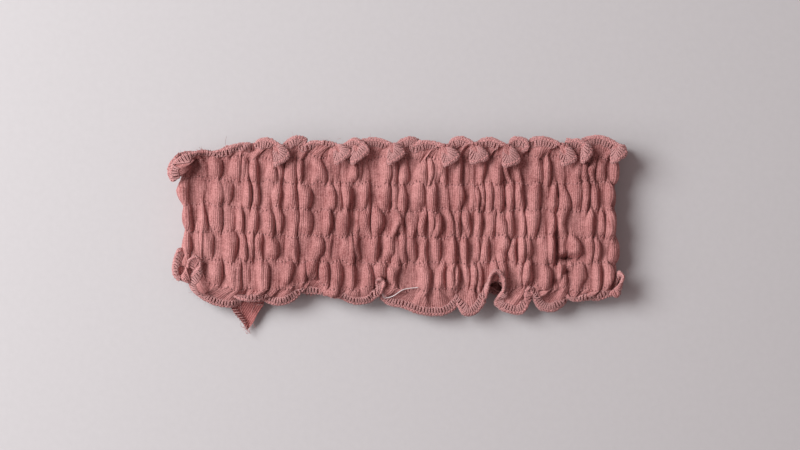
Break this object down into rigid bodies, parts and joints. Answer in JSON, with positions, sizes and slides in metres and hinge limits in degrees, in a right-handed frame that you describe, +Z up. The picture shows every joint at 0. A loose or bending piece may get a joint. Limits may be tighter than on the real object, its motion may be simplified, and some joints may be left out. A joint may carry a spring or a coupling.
{
  "type": "spa headband",
  "caption": "Wide gathered jersey headband lying flat: one sewn loop with rows of elastic shirring and wavy overlocked edges.",
  "frame": {"origin": "centre of the footprint, on the surface that the band lies on", "axes": "+Z up, out of the surface; +X along the band from fold to fold; +Y across the band, towards the edge without the seam's loose corner; the head goes through along Y"},
  "size_m": [0.219, 0.0939, 0.0201],
  "materials": {
    "jersey": "matt dusty-rose weft-knit jersey, wales across the band",
    "sewing_thread": "spun polyester sewing thread, colour of the cloth",
    "elastic_thread": "thread-covered shirring elastic",
    "overlock_thread": "slightly fuzzy textured overlock thread, lighter than the cloth",
    "pale_thread": "pale loose thread end"
  },
  "bodies": {
    "root": {"fabric_strip": "jersey", "seam_allowance": "jersey", "elastic_thread_row_1": "elastic_thread", "elastic_thread_row_2": "elastic_thread", "elastic_thread_row_3": "elastic_thread", "elastic_thread_row_4": "elastic_thread", "elastic_thread_row_5": "elastic_thread", "elastic_thread_row_6": "elastic_thread", "needle_thread_row_1": "sewing_thread", "needle_thread_row_2": "sewing_thread", "needle_thread_row_3": "sewing_thread", "needle_thread_row_4": "sewing_thread", "needle_thread_row_5": "sewing_thread", "needle_thread_row_6": "sewing_thread", "top_edge_upper_looper_thread": "overlock_thread", "top_edge_lower_looper_thread": "overlock_thread", "top_edge_needle_thread": "sewing_thread", "bottom_edge_upper_looper_thread": "overlock_thread", "bottom_edge_lower_looper_thread": "overlock_thread", "bottom_edge_needle_thread": "sewing_thread", "seam_looper_threads": "overlock_thread", "seam_needle_thread": "sewing_thread", "loose_thread_end": "pale_thread"}
  },
  "joints": []
}
